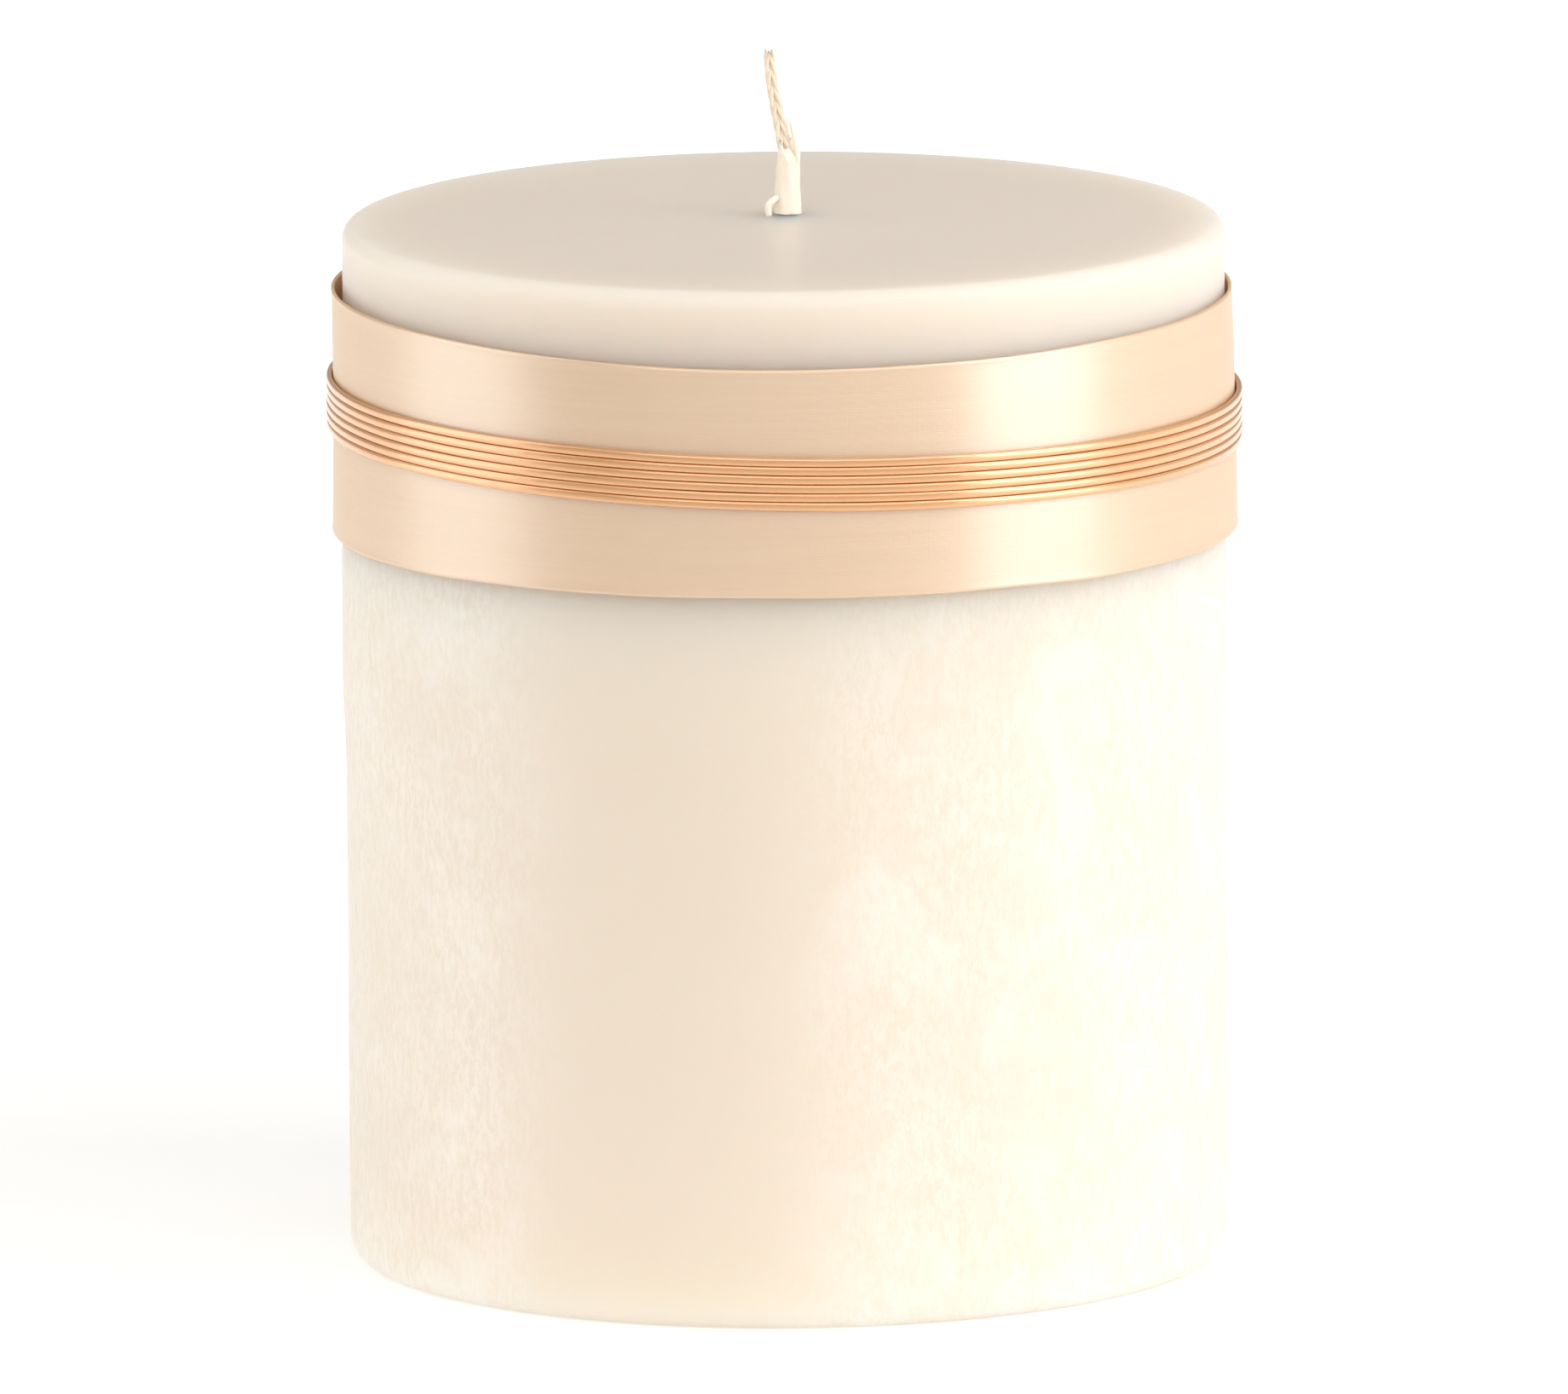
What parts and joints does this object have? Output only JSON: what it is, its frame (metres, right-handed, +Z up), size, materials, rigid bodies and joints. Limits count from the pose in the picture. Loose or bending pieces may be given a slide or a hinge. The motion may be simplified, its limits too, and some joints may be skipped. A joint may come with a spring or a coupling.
{
  "type": "unity candle",
  "caption": "Short round pillar candle for a wedding, with a leaning wick and a loose satin ribbon and flat cord band round it near the top that slide off over the wick.",
  "frame": {"origin": "centre of the flat base, on the surface that the candle stands on", "axes": "+Z up along the pillar towards the wick; -Y is the front; the ends of the ribbon and cords meet at the back, on +Y"},
  "size_m": [0.078, 0.0781, 0.1034],
  "materials": {
    "wax": "ivory paraffin, frosted and mottled on the side, smooth on the top",
    "cotton_braid": "braided cotton primed with wax",
    "tinned_steel": "thin pressed steel with a bright tin plating",
    "satin": "cream and peach double-face satin",
    "clear_tape": "thin double-sided film tape",
    "copper_cord": "fine twisted cord with a copper sheen",
    "clear_glue": "hardened clear hot glue"
  },
  "bodies": {
    "candle": {"wax_pillar": "wax", "wick": "cotton_braid", "wick_sustainer": "tinned_steel"},
    "ribbon_sleeve": {"satin_ribbon": "satin", "ribbon_tape": "clear_tape", "cord_glue_bead": "clear_glue", "cord_strand_1": "copper_cord", "cord_strand_2": "copper_cord", "cord_strand_3": "copper_cord", "cord_strand_4": "copper_cord", "cord_strand_5": "copper_cord", "cord_strand_6": "copper_cord"}
  },
  "joints": [
    {"name": "sleeve_slide", "type": "slide", "parent": "candle", "child": "ribbon_sleeve", "axis": [0, 0, 1], "range_m": [-0.062, 0.045]}
  ]
}
